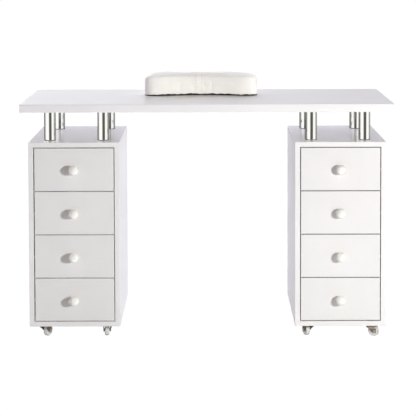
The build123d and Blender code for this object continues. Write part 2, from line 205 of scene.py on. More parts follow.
def resample(points, n):
    """a closed outline at n equal steps"""
    p = np.array(points + [points[0]], float)
    s = np.concatenate([[0], np.cumsum(np.hypot(*np.diff(p, axis=0).T))])
    t = np.linspace(0, s[-1], n, endpoint=False)
    return [(float(np.interp(q, s, p[:, 0])), float(np.interp(q, s, p[:, 1]))) for q in t]


def smooth_step(t):
    t = min(1.0, max(0.0, t))
    return t * t * (3 - 2 * t)


# ---------------------------------------------------------------- node helpers
def node(tree, kind, ins=None, **props):
    n = tree.nodes.new(kind)
    for k, v in props.items():
        setattr(n, k, v)
    for k, v in (ins or {}).items():
        s = n.inputs[k]
        if isinstance(v, bpy.types.NodeSocket):
            tree.links.new(v, s)
        elif s.type == "RGBA" and len(v) == 3:
            s.default_value = (*v, 1.0)
        else:
            s.default_value = v
    return n


def calc(tree, op, a, b=0.0, c=0.0, clamp=False):
    n = node(tree, "ShaderNodeMath", {0: a, 1: b, 2: c}, operation=op, use_clamp=clamp)
    return n.outputs[0]


def spread(tree, value, lo, hi, a=0.0, b=1.0, smooth=True):
    """value mapped from lo..hi to a..b"""
    n = node(
        tree, "ShaderNodeMapRange",
        {"Value": value, "From Min": lo, "From Max": hi, "To Min": a, "To Max": b},
        interpolation_type="SMOOTHSTEP" if smooth else "LINEAR",
    )
    return n.outputs["Result"]


def blend_colour(tree, factor, a, b, mode="MIX"):
    n = tree.nodes.new("ShaderNodeMix")
    n.data_type = "RGBA"
    n.blend_type = mode
    for i, v in ((0, factor), (6, a), (7, b)):
        if isinstance(v, bpy.types.NodeSocket):
            tree.links.new(v, n.inputs[i])
        elif i == 0:
            n.inputs[i].default_value = v
        else:
            n.inputs[i].default_value = (*v, 1.0)
    return n.outputs[2]


def noise(tree, at, scale, detail=3.0, rough=0.5, stretch=None, seed=0.0):
    if stretch is not None:
        at = node(
            tree, "ShaderNodeMapping",
            {"Vector": at, "Scale": stretch, "Location": (seed, seed * 0.7, -seed)},
        ).outputs[0]
    elif seed:
        at = node(
            tree, "ShaderNodeMapping",
            {"Vector": at, "Location": (seed, seed * 0.7, -seed)},
        ).outputs[0]
    return node(
        tree, "ShaderNodeTexNoise",
        {"Vector": at, "Scale": scale, "Detail": detail, "Roughness": rough},
    ).outputs["Fac"]


def bump(tree, height, strength, distance, under=None):
    ins = {"Height": height, "Strength": strength, "Distance": distance}
    if under is not None:
        ins["Normal"] = under
    return node(tree, "ShaderNodeBump", ins).outputs["Normal"]


def material(name):
    m = bpy.data.materials.new(name)
    m.use_nodes = True
    t = m.node_tree
    t.nodes.clear()
    out = t.nodes.new("ShaderNodeOutputMaterial")
    bsdf = t.nodes.new("ShaderNodeBsdfPrincipled")
    t.links.new(bsdf.outputs[0], out.inputs["Surface"])
    at = t.nodes.new("ShaderNodeTexCoord").outputs["Object"]
    return m, t, bsdf, at


def wire(tree, bsdf, **ins):
    for k, v in ins.items():
        s = bsdf.inputs[k.replace("_", " ")]
        if isinstance(v, bpy.types.NodeSocket):
            tree.links.new(v, s)
        elif s.type == "RGBA" and len(v) == 3:
            s.default_value = (*v, 1.0)
        else:
            s.default_value = v


# ---------------------------------------------------------------- materials
def lacquer(name, light, dark, rough=(0.30, 0.42), peel=0.10, coat=0.08, coat_rough=0.2,
            upper=None, upper_coat=None, upper_spec=0.5, front=None):
    """sprayed satin lacquer on board: faint mottling, orange peel and dust nibs.
    upper is a painted light-and-shade tone of the face that looks up, lighter or darker after how the light falls on
    it, and upper_coat the gloss of that face;
    front is a painted warm light tint on the faces and edge bands that look forward; gaps and inside corners get
    painted shade."""
    m, t, b, at = material(name)
    spec = 0.5
    if upper is not None:
        facing = node(t, "ShaderNodeSeparateXYZ", {0: t.nodes.new("ShaderNodeNewGeometry").outputs["True Normal"]}).outputs[2]
        facing = spread(t, facing, 0.80, 0.95)
        # painted light and shade: the face that looks up takes its own tone, lighter or darker after how the light
        # falls on it
        light = blend_colour(t, facing, light, upper)
        dark = blend_colour(t, facing, dark, tuple(0.975 * q for q in upper))
        coat = spread(t, facing, 0.0, 1.0, coat, upper_coat, smooth=False)
        spec = spread(t, facing, 0.0, 1.0, 0.5, upper_spec, smooth=False)
    broad = noise(t, at, 2.6, 3.0, 0.55)
    fine = noise(t, at, 38.0, 4.0, 0.6, seed=3.0)
    tone = blend_colour(t, spread(t, broad, 0.35, 0.65), dark, light)
    tone = blend_colour(
        t, spread(t, fine, 0.38, 0.62, 0.0, 0.35), tone,
        blend_colour(t, 1.0, tone, (0.982, 0.982, 0.984), "MULTIPLY"),
    )
    # painted light: a warm tint multiplied onto the faces that look forward, standing in for the warm light falling on
    # them
    if front is not None:
        ahead = node(t, "ShaderNodeSeparateXYZ", {0: t.nodes.new("ShaderNodeNewGeometry").outputs["True Normal"]}).outputs[1]
        tone = blend_colour(t, spread(t, ahead, -0.95, -0.80, 1.0, 0.0), tone, blend_colour(t, 1.0, tone, front, "MULTIPLY"))
    # painted shade: an ambient-occlusion mask darkens the shadow gaps and inside corners to a brown
    gap_shade_ao = node(t, "ShaderNodeAmbientOcclusion", {"Distance": 0.005})
    gap_shade_ao.samples = 6
    open_ = spread(t, gap_shade_ao.outputs["AO"], 0.25, 0.85)
    tone = blend_colour(t, open_, blend_colour(t, 1.0, tone, (0.085, 0.052, 0.036), "MULTIPLY"), tone)
    # sparse dust nibs under the lacquer
    nib = node(
        t, "ShaderNodeTexVoronoi", {"Vector": at, "Scale": 62.0, "Randomness": 1.0},
    ).outputs["Distance"]
    nib = spread(t, nib, 0.02, 0.055, 1.0, 0.0)
    keep = spread(t, noise(t, at, 9.0, 1.0, seed=8.0), 0.58, 0.64)
    nib = calc(t, "MULTIPLY", nib, keep)
    sheen = noise(t, at, 14.0, 4.0, 0.6, seed=5.0)
    orange = noise(t, at, 330.0, 2.0, 0.5, seed=1.5)
    normal = bump(t, orange, peel, 0.0006)
    normal = bump(t, nib, 0.25, 0.0003, normal)
    wire(
        t, b, Base_Color=tone, Roughness=spread(t, sheen, 0.3, 0.7, *rough),
        Normal=normal, IOR=1.48, Specular_IOR_Level=spec, Coat_Weight=coat,
        Coat_Roughness=coat_rough, Coat_Normal=normal,
    )
    return m


def melamine(name, light, dark):
    """matt pressed melamine paper: fine pearl grain"""
    m, t, b, at = material(name)
    pearl = noise(t, at, 900.0, 3.0, 0.6)
    cloud = noise(t, at, 5.0, 3.0, 0.5, seed=4.0)
    tone = blend_colour(t, spread(t, cloud, 0.3, 0.7), dark, light)
    wire(
        t, b, Base_Color=tone, Roughness=spread(t, pearl, 0.3, 0.7, 0.42, 0.6),
        Normal=bump(t, pearl, 0.25, 0.0002),
    )
    return m


def hardboard(name, light, dark):
    """thin painted hardboard: faint fibre flecks"""
    m, t, b, at = material(name)
    fibre = noise(t, at, 140.0, 6.0, 0.7, stretch=(1.0, 1.0, 0.35))
    cloud = noise(t, at, 4.0, 3.0, 0.5, seed=2.0)
    tone = blend_colour(t, spread(t, cloud, 0.3, 0.7), dark, light)
    tone = blend_colour(
        t, spread(t, fibre, 0.55, 0.75, 0.0, 0.25), tone, tuple(0.86 * c for c in dark)
    )
    wire(
        t, b, Base_Color=tone, Roughness=spread(t, fibre, 0.3, 0.7, 0.45, 0.65),
        Normal=bump(t, fibre, 0.3, 0.0003),
    )
    return m


def chrome(name):
    """polished chrome plate: long faint polishing lines, smears and a few pits"""
    m, t, b, at = material(name)
    lines = noise(t, at, 60.0, 3.0, 0.6, stretch=(22.0, 22.0, 0.6))
    smear = noise(t, at, 22.0, 4.0, 0.65, seed=7.0)
    pit = node(
        t, "ShaderNodeTexVoronoi", {"Vector": at, "Scale": 260.0, "Randomness": 1.0},
    ).outputs["Distance"]
    pit = spread(t, pit, 0.03, 0.07, 1.0, 0.0)
    pit = calc(t, "MULTIPLY", pit, spread(t, noise(t, at, 30.0, 1.0, seed=9.0), 0.6, 0.66))
    tone = blend_colour(t, spread(t, smear, 0.3, 0.7), (0.93, 0.94, 0.93), (0.97, 0.97, 0.95))
    tone = blend_colour(t, calc(t, "MULTIPLY", pit, 0.6), tone, (0.45, 0.44, 0.42))
    rough = spread(t, smear, 0.35, 0.75, 0.035, 0.075)
    normal = bump(t, lines, 0.008, 0.0002)
    normal = bump(t, pit, 0.3, 0.0001, normal)
    wire(t, b, Base_Color=tone, Metallic=1.0, Roughness=rough, Normal=normal)
    return m


def metal(name, bright, dull, rough=(0.28, 0.5), line=0.12, stain=(0.25, 0.2, 0.16)):
    """zinc-plated pressed steel: spangle, rolling lines and dull patches"""
    m, t, b, at = material(name)
    patch = noise(t, at, 90.0, 4.0, 0.6)
    grain = noise(t, at, 700.0, 3.0, 0.6, stretch=(1.0, 1.0, 6.0))
    spot = noise(t, at, 210.0, 5.0, 0.7, seed=6.0)
    tone = blend_colour(t, spread(t, patch, 0.35, 0.65), dull, bright)
    tone = blend_colour(t, spread(t, spot, 0.6, 0.75, 0.0, 0.5), tone, stain)
    wire(
        t, b, Base_Color=tone, Metallic=1.0, Roughness=spread(t, patch, 0.3, 0.7, rough[1], rough[0]),
        Normal=bump(t, grain, line, 0.0002),
    )
    return m


def tread_plastic(name):
    """clear polyurethane tyre, scuffed where it runs"""
    m, t, b, at = material(name)
    scuff = noise(t, at, 420.0, 4.0, 0.65)
    cloud = noise(t, at, 60.0, 3.0, 0.5, seed=2.0)
    tone = blend_colour(t, spread(t, cloud, 0.3, 0.7), (0.86, 0.85, 0.79), (0.93, 0.92, 0.87))
    tone = blend_colour(t, spread(t, scuff, 0.62, 0.75, 0.0, 0.4), tone, (0.62, 0.59, 0.53))
    wire(
        t, b, Base_Color=tone, Roughness=spread(t, scuff, 0.3, 0.7, 0.22, 0.45), IOR=1.5,
        Transmission_Weight=0.30, Subsurface_Weight=0.25, Subsurface_Radius=(0.006, 0.006, 0.005),
        Subsurface_Scale=0.6, Normal=bump(t, scuff, 0.15, 0.0002),
        Coat_Weight=0.3, Coat_Roughness=0.1,
    )
    return m


def moulded(name, light, dark, rough=(0.35, 0.55), grain=500.0, depth=0.18):
    """moulded plastic with a fine spark-eroded texture"""
    m, t, b, at = material(name)
    g = noise(t, at, grain, 3.0, 0.6)
    cloud = noise(t, at, 25.0, 3.0, 0.5, seed=3.0)
    tone = blend_colour(t, spread(t, cloud, 0.3, 0.7), dark, light)
    wire(
        t, b, Base_Color=tone, Roughness=spread(t, g, 0.3, 0.7, *rough),
        Normal=bump(t, g, depth, 0.0002),
    )
    return m


def wood(name, light, dark):
    m, t, b, at = material(name)
    ring = noise(t, at, 60.0, 5.0, 0.65, stretch=(7.0, 7.0, 0.5))
    pore = noise(t, at, 500.0, 3.0, 0.6, stretch=(4.0, 4.0, 0.3), seed=2.0)
    tone = blend_colour(t, spread(t, ring, 0.3, 0.7), dark, light)
    tone = blend_colour(t, spread(t, pore, 0.6, 0.8, 0.0, 0.6), tone, tuple(0.6 * c for c in dark))
    wire(
        t, b, Base_Color=tone, Roughness=spread(t, pore, 0.3, 0.7, 0.5, 0.7),
        Normal=bump(t, pore, 0.3, 0.0003),
    )
    return m


def leather(name, light, dark):
    """soft pebbled upholstery leather: cells, creases between them and a faint handling tone"""
    m, t, b, at = material(name)
    warp = noise(t, at, 90.0, 3.0, 0.6, seed=1.0)
    bent = node(
        t, "ShaderNodeVectorMath",
        {0: at, 1: node(
            t, "ShaderNodeCombineXYZ",
            {"X": calc(t, "MULTIPLY", warp, 0.004), "Y": calc(t, "MULTIPLY", warp, -0.003),
             "Z": calc(t, "MULTIPLY", warp, 0.0035)}).outputs[0]},
        operation="ADD",
    ).outputs[0]
    cell = node(
        t, "ShaderNodeTexVoronoi", {"Vector": bent, "Scale": 620.0, "Randomness": 0.9},
        feature="DISTANCE_TO_EDGE",
    ).outputs["Distance"]
    pebble = spread(t, cell, 0.0, 0.22)
    hair = noise(t, at, 2600.0, 2.0, 0.6, seed=4.0)
    crease = noise(t, at, 34.0, 5.0, 0.62, seed=6.0)
    tone = blend_colour(t, spread(t, crease, 0.32, 0.68), dark, light)
    tone = blend_colour(
        t, spread(t, pebble, 0.0, 0.5, 0.22, 0.0), tone, tuple(0.88 * c for c in dark)
    )
    rough = calc(t, "ADD", spread(t, crease, 0.3, 0.7, 0.40, 0.50), calc(t, "MULTIPLY", pebble, -0.06))
    normal = bump(t, crease, 0.25, 0.0016)
    normal = bump(t, pebble, 0.30, 0.00022, normal)
    normal = bump(t, hair, 0.12, 0.00008, normal)
    wire(
        t, b, Base_Color=tone, Roughness=rough, Normal=normal, IOR=1.46,
        Sheen_Weight=0.06, Sheen_Roughness=0.4, Coat_Weight=0.12, Coat_Roughness=0.3,
    )
    return m


def thread(name, light, dark):
    """twisted polyester thread"""
    m, t, b, at = material(name)
    twist = node(
        t, "ShaderNodeTexWave", {"Vector": at, "Scale": 900.0, "Distortion": 2.0, "Detail": 2.0},
        bands_direction="DIAGONAL",
    ).outputs["Fac"]
    tone = blend_colour(t, twist, dark, light)
    wire(t, b, Base_Color=tone, Roughness=spread(t, twist, 0, 1, 0.45, 0.6), Normal=bump(t, twist, 0.4, 0.0002))
    return m


# painted warm light tint for the faces that look forward
FRONT_LIGHT_TINT = (1.010, 0.984, 0.966)
WHITE = lacquer("white_lacquer", (0.895, 0.885, 0.876), (0.872, 0.862, 0.854), front=FRONT_LIGHT_TINT)
# the tabletop's upward face is painted darker than its edges as painted shade for the weak light on top, and its front
# edge gets a painted warm light tint
TOP_WHITE = lacquer(
    "white_lacquer_top", (0.905, 0.897, 0.892), (0.884, 0.876, 0.872), rough=(0.30, 0.38), coat=0.10,
    upper=(0.875, 0.868, 0.862), upper_coat=0.10, front=(1.020, 0.993, 0.985),
)
# the cabinet tops' upward face is painted lighter, as painted light standing in for the light on them under the
# tabletop
CAP_WHITE = lacquer(
    "white_lacquer_cabinet_top", (0.895, 0.885, 0.876), (0.872, 0.862, 0.854), rough=(0.30, 0.40), peel=0.02,
    coat=0.08, coat_rough=0.03, upper=(0.905, 0.893, 0.895), upper_coat=1.0, upper_spec=0.1,
    front=FRONT_LIGHT_TINT,
)
FRONT_WHITE = lacquer("white_lacquer_front", (0.842, 0.834, 0.828), (0.820, 0.810, 0.806), front=FRONT_LIGHT_TINT)
KNOB_WHITE = lacquer(
    "knob_lacquer", (0.975, 0.955, 0.885), (0.955, 0.935, 0.862), rough=(0.22, 0.32), peel=0.06,
    coat=0.35, coat_rough=0.1,
)
HARDBOARD = hardboard("white_hardboard", (0.84, 0.83, 0.82), (0.80, 0.79, 0.775))
MELAMINE = melamine("drawer_melamine", (0.85, 0.845, 0.835), (0.82, 0.812, 0.80))
CHROME = chrome("chrome_plate")
ZINC = metal("zinc_steel", (0.72, 0.72, 0.70), (0.52, 0.52, 0.52))
FORK_STEEL = metal(
    "castor_steel", (0.42, 0.35, 0.30), (0.27, 0.21, 0.175), rough=(0.3, 0.5), stain=(0.15, 0.11, 0.09)
)
TREAD = tread_plastic("castor_tread")
CORE = moulded("castor_core", (0.78, 0.76, 0.71), (0.66, 0.64, 0.59), rough=(0.3, 0.5), grain=700.0)
BLACK = moulded("black_plastic", (0.032, 0.030, 0.030), (0.020, 0.019, 0.020), grain=420.0, depth=0.3)
BASE_BLACK = moulded(
    "black_base_board", (0.022, 0.019, 0.017), (0.012, 0.011, 0.011), rough=(0.5, 0.75), grain=260.0,
    depth=0.5,
)
NYLON = moulded("white_plastic", (0.80, 0.80, 0.78), (0.76, 0.76, 0.74), grain=520.0, depth=0.12)
BEECH = wood("beech", (0.62, 0.44, 0.28), (0.48, 0.32, 0.19))
LEATHER = leather("cushion_leather", (0.985, 0.962, 0.912), (0.965, 0.940, 0.890))
THREAD = thread("cushion_thread", (0.90, 0.875, 0.82), (0.80, 0.775, 0.72))


def finish_for(name):
    if name == "tabletop":
        return TOP_WHITE
    if name.endswith("_top_board"):
        return CAP_WHITE
    if name.endswith("_back_panel"):
        return HARDBOARD
    if name.endswith("_board") and "cabinet" in name:
        return WHITE
    if name.endswith("_front"):
        return FRONT_WHITE
    if name.endswith("_box"):
        return MELAMINE
    if name.endswith("_knob"):
        return KNOB_WHITE
    if name.endswith("_fork"):
        return FORK_STEEL
    if name.endswith("_wheel"):
        return TREAD
    return {
        "pillar_tubes": CHROME,
        "pillar_end_plugs": BLACK,
        "pillar_bolts_and_studs": ZINC,
        "carcass_dowels": BEECH,
        "castor_plates": ZINC,
        "castor_plate_screws": ZINC,
        "drawer_runner_strips": NYLON,
        "cushion_pad": LEATHER,
        "cushion_base_board": BASE_BLACK,
    }[name]


for cad_name, cad in NODES.items():
    cad.data.materials.clear()
    cad.data.materials.append(finish_for(cad_name))

# polished tubes show the room, not the boards round them
for cad_name in NODES:
    if "cabinet" in cad_name or cad_name == "tabletop" or cad_name.endswith(("_front", "_box")):
        NODES[cad_name].visible_glossy = False

# ---------------------------------------------------------------- chrome pillars
lo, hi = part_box("pillar_tubes")
tube_r = 19.0 * MM
bore_r = 17.5 * MM
xs = [lo.x + tube_r, lo.x + tube_r + 174 * MM, hi.x - tube_r - 174 * MM, hi.x - tube_r]
ys = [lo.y + tube_r, hi.y - tube_r]
z0, z1 = lo.z, hi.z
c = 0.5 * MM
tube_profile = (
    [(bore_r, z0), (tube_r - c, z0)]
    + [(tube_r - c + c * math.sin(a), z0 + c - c * math.cos(a)) for a in (0.5, 1.05)]
    + [(tube_r, z0 + c), (tube_r, z0 + 2.2 * MM), (tube_r, (z0 + z1) / 2), (tube_r, z1 - 2.2 * MM), (tube_r, z1 - c)]
    + [(tube_r - c + c * math.sin(a), z1 - c + c * math.cos(a)) for a in (1.05, 0.5)]
    + [(tube_r - c, z1), (bore_r, z1)]
)
count = 0
for px in xs:
    for py in ys:
        count += 1
        v, f = lathe(tube_profile, 144, closed=True, origin=(px, py, 0))
        link(
            "chrome_pillar_%d" % count, make_mesh("chrome_pillar", v, f, 50.0), CHROME, "frame",
            ["pillar_tubes"],
        )

# ---------------------------------------------------------------- drawer knobs
R = 16.0
join = math.degrees(math.asin(7.6 / R))
ball = [(0.0, 36.0)]
for i in range(1, 37):
    a = math.radians((180 - join) * i / 36)
    ball.append((R * math.sin(a), 20.0 + R * math.cos(a)))
x_j, h_j = ball[-1]
neck = [(7.25, h_j - 0.7), (7.05, h_j - 1.4), (7.0, h_j - 2.0), (7.0, 2.9), (7.1, 2.3), (7.45, 1.8)]
flange = [(7.9, 1.6), (8.25, 1.5), (8.5, 1.15), (8.5, 0.35), (8.35, 0.0), (2.05, 0.0), (2.05, 17.9), (0.0, 17.9)]
knob_profile = [(r * MM, h * MM) for r, h in ball + neck + flange]


def cross_head():
    """pan head with a cross recess, built about +Y with its seat at the origin"""
    prof = [(2.0, -30.0), (2.0, 0.0), (3.9, 0.0), (4.15, 0.2), (4.2, 0.55)]
    prof += [(4.2 * math.cos(a), 0.9 + 1.3 * math.sin(a)) for a in (0.15, 0.45, 0.75, 1.05, 1.3)]
    prof += [(0.0, 2.2)]
    v, f = lathe([(0.0, -30.5)] + prof, 32)
    me = make_mesh("head", [(x * MM, z * MM, -y * MM) for x, y, z in v], f, 40.0)
    ob = bpy.data.objects.new("head_tmp", me)
    scene.collection.objects.link(ob)
    cut_parts = []
    for w, l in ((0.5, 2.1), (2.1, 0.5)):
        cv = [
            (sx * w * MM * k, yy * MM, sz * l * MM * k)
            for yy, k in ((0.75, 0.45), (2.6, 1.0)) for sx, sz in ((-1, -1), (1, -1), (1, 1), (-1, 1))
        ]
        cf = [(0, 1, 2, 3), (4, 5, 6, 7), (0, 1, 5, 4), (1, 2, 6, 5), (2, 3, 7, 6), (3, 0, 4, 7)]
        cut_parts.append((cv, cf))
    for n, part in enumerate(cut_parts):
        cutter = bpy.data.objects.new("cut_tmp", make_mesh("cut", *part, angle=None))
        scene.collection.objects.link(cutter)
        mod = ob.modifiers.new("cut", "BOOLEAN")
        mod.object = cutter
        mod.operation = "DIFFERENCE"
        mod.solver = "EXACT"
        dg = bpy.context.evaluated_depsgraph_get()
        done = bpy.data.meshes.new_from_object(ob.evaluated_get(dg))
        ob.modifiers.clear()
        ob.data = done
        bpy.data.objects.remove(cutter)
    out = ob.data
    bpy.data.objects.remove(ob)
    return out


HEAD = cross_head()
HEAD.materials.clear()


def moved_copy(mesh, matrix, name):
    me = mesh.copy()
    me.name = name
    me.transform(matrix)
    return me


for tag in [s + str(k) for s in "lr" for k in (1, 2, 3, 4)]:
    flo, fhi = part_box("drawer_%s_front" % tag)
    klo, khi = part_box("drawer_%s_knob" % tag)
    kx, kz = (klo.x + khi.x) / 2, (klo.z + khi.z) / 2
    body = "drawer_" + tag
    v, f = lathe(knob_profile, 72, origin=(kx, flo.y, kz), axis="-Y")
    link("knob_" + tag, make_mesh("knob", v, f, 45.0), KNOB_WHITE, body, ["drawer_%s_knob" % tag])
    at = Matrix.Translation((kx, khi.y - 2.2 * MM, kz)) @ Matrix.Rotation(math.radians(17 * (ord(tag[1]) - 48)), 4, "Y")
    link("knob_screw_" + tag, moved_copy(HEAD, at, "knob_screw"), ZINC, body, ["drawer_%s_knob" % tag])

# ---------------------------------------------------------------- castors
ANGLE = {"l1": 63.0, "l2": 97.0, "l3": 40.0, "l4": 78.0, "r1": 112.0, "r2": 2.0, "r3": 128.0, "r4": 24.0}
TRAIL, AX = 14.0, 18.0


def leg(sign):
    """pressed fork leg: its side outline is the skin round the axle boss and the crown"""
    pts = arc(TRAIL, AX, 6.6, 0, 360, 40)
    pts += arc(-9.5, 36.3, 4.5, 90, 180, 6) + [(-14.0, 33.6)]
    pts += arc(9.5, 36.3, 4.5, 0, 90, 6) + [(14.0, 33.6)]
    ring = resample(hull(pts), 72)
    cxx = sum(p[0] for p in ring) / len(ring)
    czz = sum(p[1] for p in ring) / len(ring)
    n = len(ring)

    def shrink(d):
        out = []
        for k in range(n):
            (xa, za), (xb, zb) = ring[k - 1], ring[(k + 1) % n]
            tx, tz = xb - xa, zb - za
            length = math.hypot(tx, tz)
            x, z = ring[k]
            out.append((x - tz / length * d, z + tx / length * d))
        return out

    def inner(z):
        return 9.4 + 2.6 * smooth_step((z - 25.0) / 8.5)

    layers = []
    for frac in (0.0, 0.25, 0.5, 0.75):
        layers.append(([(cxx + (x - cxx) * frac, czz + (z - czz) * frac) for x, z in shrink(0.5)], 0.0))
    layers.append((shrink(0.5), 0.0))
    layers.append((shrink(0.12), 0.15))
    layers.append((ring, 0.55))
    layers.append((ring, 1.45))
    layers.append((shrink(0.12), 1.85))
    layers.append((shrink(0.5), 2.0))
    for frac in (0.75, 0.5, 0.25, 0.0):
        layers.append(([(cxx + (x - cxx) * frac, czz + (z - czz) * frac) for x, z in shrink(0.5)], 2.0))
    verts, faces = [], []
    for pts_, t_ in layers:
        for x, z in pts_:
            # a raised rim stiffens the middle of the leg
            verts.append((x, sign * (inner(z) + t_), z))
    for a in range(len(layers) - 1):
        for k in range(n):
            j = (k + 1) % n
            faces.append((a * n + k, a * n + j, (a + 1) * n + j, (a + 1) * n + k))
    return verts, faces


def fork_mesh():
    crown = [
        (4.1, 38.8), (4.1, 40.8), (12.9, 40.8), (13.5, 40.66), (13.88, 40.3), (14.0, 39.9),
        (13.9, 39.3), (13.6, 38.95), (13.1, 38.8), (10.4, 38.8), (9.9, 38.55), (9.2, 38.4), (8.4, 38.4), (7.7, 38.55), (7.3, 38.8),
    ]
    return merge([lathe(crown, 56, closed=True), leg(1), leg(-1)])


def axle_mesh():
    prof = [(0.0, -12.75), (1.2, -12.8), (1.6, -13.0), (3.0, -13.0), (3.8, -12.75), (4.4, -12.25), (4.6, -11.7), (4.55, -11.4), (3.0, -11.4)]
    prof = prof + [(r, -h) for r, h in reversed(prof)]
    return lathe(prof, 40, origin=(TRAIL, 0, AX), axis="Y")


def tread_mesh():
    half = [(12.05, 5.9), (12.35, 6.6), (12.9, 6.95), (14.0, 7.0)]
    half += arc(14.0, 3.0, 4.0, 90, 12, 7)
    half += [(17.97, 1.4), (18.0, 0.0)]
    prof = half + [(r, -h) for r, h in reversed(half[:-1])]
    return lathe(prof, 96, closed=True, origin=(TRAIL, 0, AX), axis="Y")


def core_mesh():
    half = [(3.06, 9.0), (4.7, 9.0), (5.05, 8.9), (5.2, 8.6), (5.2, 5.7), (5.35, 5.35), (5.75, 5.2), (10.9, 5.2), (11.3, 5.3), (11.6, 5.7), (11.75, 6.2), (12.1, 6.3), (12.2, 6.0)]
    prof = half + [(r, -h) for r, h in reversed(half)]
    parts = [lathe(prof, 72, closed=True, origin=(TRAIL, 0, AX), axis="Y")]
    # six low ribs across each dish
    for side in (-1, 1):
        for k in range(6):
            a = math.radians(60 * k + 15)
            ux, uz = math.cos(a), math.sin(a)
            rows = []
            for r in (4.9, 7.5, 9.5, 11.7):
                for wdt, hh in ((-0.9, 4.9), (-0.62, 5.75), (-0.35, 5.95), (0.35, 5.95), (0.62, 5.75), (0.9, 4.9)):
                    rows.append((TRAIL + ux * r - uz * wdt, side * hh, AX + uz * r + ux * wdt))
            fs = []
            for i in range(3):
                for j in range(6):
                    jj = (j + 1) % 6
                    fs.append((i * 6 + j, i * 6 + jj, (i + 1) * 6 + jj, (i + 1) * 6 + j))
            fs.append(tuple(range(6)))
            fs.append(tuple(18 + q for q in range(6)))
            parts.append((rows, fs))
    return merge(parts)


FORK, AXLE, TYRE, WHEEL_CORE = fork_mesh(), axle_mesh(), tread_mesh(), core_mesh()
plate_lo, plate_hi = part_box("castor_plates")
PX = [plate_lo.x + 20 * MM, plate_lo.x + 222 * MM, plate_hi.x - 222 * MM, plate_hi.x - 20 * MM]
PY = [plate_lo.y + 20 * MM, plate_hi.y - 20 * MM]
PLACE = {
    "l1": (PX[0], PY[0]), "l2": (PX[1], PY[0]), "l3": (PX[0], PY[1]), "l4": (PX[1], PY[1]),
    "r1": (PX[2], PY[0]), "r2": (PX[3], PY[0]), "r3": (PX[2], PY[1]), "r4": (PX[3], PY[1]),
}


def at_castor(part, tag):
    v, f = part
    a = math.radians(ANGLE[tag])
    ca, sa = math.cos(a), math.sin(a)
    x0, y0 = PLACE[tag]
    return [(x0 + (x * ca - y * sa) * MM, y0 + (x * sa + y * ca) * MM, z * MM) for x, y, z in v], f


for tag in ANGLE:
    fork_body, wheel_body = "castor_%s_fork" % tag, "castor_%s_wheel" % tag
    link("castor_%s_fork_steel" % tag, make_mesh("fork", *at_castor(FORK, tag), angle=42.0), FORK_STEEL, fork_body, [fork_body])
    link("castor_%s_axle_rivet" % tag, make_mesh("axle", *at_castor(AXLE, tag), angle=50.0), ZINC, fork_body, [fork_body])
    link("castor_%s_tread" % tag, make_mesh("tread", *at_castor(TYRE, tag), angle=60.0), TREAD, wheel_body, [wheel_body])
    link("castor_%s_wheel_core" % tag, make_mesh("core", *at_castor(WHEEL_CORE, tag), angle=45.0), CORE, wheel_body, [wheel_body])

# ---------------------------------------------------------------- hand cushion
pad_lo, pad_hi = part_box("cushion_pad")
base_lo, base_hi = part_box("cushion_base_board")
PAD_CX = (pad_lo.x + pad_hi.x) / 2
SEAMS = (-0.042, -0.022)


def fields(me):
    n = len(me.vertices)
    co = np.zeros(n * 3, np.float64)
    no = np.zeros(n * 3, np.float64)
    me.vertices.foreach_get("co", co)
    me.vertices.foreach_get("normal", no)
    return co.reshape(-1, 3), no.reshape(-1, 3)


def put(me, co):
    me.vertices.foreach_set("co", co.astype(np.float32).ravel())
    me.update()


def apply_modifiers(ob):
    dg = bpy.context.evaluated_depsgraph_get()
    done = bpy.data.meshes.new_from_object(ob.evaluated_get(dg))
    old = ob.data
    ob.modifiers.clear()
    ob.data = done
    bpy.data.meshes.remove(old)
    return done


def wave_noise(p, scale, seed, octaves=3):
    """smooth repeatable noise from summed sine waves, about -1..1"""
    rng = np.random.default_rng(seed)
    out = np.zeros(len(p))
    amp, total = 1.0, 0.0
    for o in range(octaves):
        for _ in range(7):
            d = rng.normal(size=3)
            d /= np.linalg.norm(d)
            k = 2 * np.pi / scale * (2.0 ** o) * rng.uniform(0.7, 1.3)
            out += amp * np.sin(p @ d * k + rng.uniform(0, 2 * np.pi)) / 2.6
        total += amp
        amp *= 0.5
    return out / total


pad = bpy.data.objects.new("cushion_pad_leather", NODES["cushion_pad"].data.copy())
pad.data.materials.clear()
pad.data.materials.append(LEATHER)
scene.collection.objects.link(pad)
rem = pad.modifiers.new("remesh", "REMESH")
rem.mode = "VOXEL"
rem.voxel_size = 0.0048
apply_modifiers(pad)
co, no = fields(pad.data)
start = co - no * 0.0022
put(pad.data, start)
cloth = pad.modifiers.new("puff", "CLOTH")
cs = cloth.settings
cs.quality = 6
cs.mass = 0.25
cs.tension_stiffness = 22
cs.compression_stiffness = 22
cs.shear_stiffness = 9
cs.bending_stiffness = 1.2
cs.use_pressure = True
cs.uniform_pressure_force = 4.0
cs.effector_weights.gravity = 0.0
cloth.collision_settings.use_collision = False
cloth.collision_settings.use_self_collision = False
held = pad.vertex_groups.new(name="held")
held.add([i for i in range(len(start)) if start[i, 2] < pad_lo.z + 0.0035], 1.0, "REPLACE")
cs.vertex_group_mass = "held"
scene.frame_start, scene.frame_end = 1, 20
for fr in range(1, 21):
    scene.frame_set(fr)
dg = bpy.context.evaluated_depsgraph_get()
got = np.zeros(len(start) * 3, np.float64)
pad.evaluated_get(dg).data.vertices.foreach_get("co", got)
got = got.reshape(-1, 3)
scene.frame_set(1)
pad.modifiers.clear()
pad.vertex_groups.clear()
move = got - start
size = np.linalg.norm(move, axis=1, keepdims=True)
cap = 0.0075
co = start + move * np.minimum(1.0, cap / np.maximum(size, 1e-9))
put(pad.data, co)
sub = pad.modifiers.new("sub", "SUBSURF")
sub.levels = sub.render_levels = 2
apply_modifiers(pad)

co, no = fields(pad.data)
x, y, z = co[:, 0], co[:, 1], co[:, 2]
rise = np.clip((z - pad_lo.z) / (pad_hi.z - pad_lo.z), 0, 1)
upper = np.clip((z - (pad_lo.z + 0.004)) / 0.010, 0, 1)
d = wave_noise(co, 0.085, 11) * 0.00055 + wave_noise(co, 0.028, 12) * 0.00022
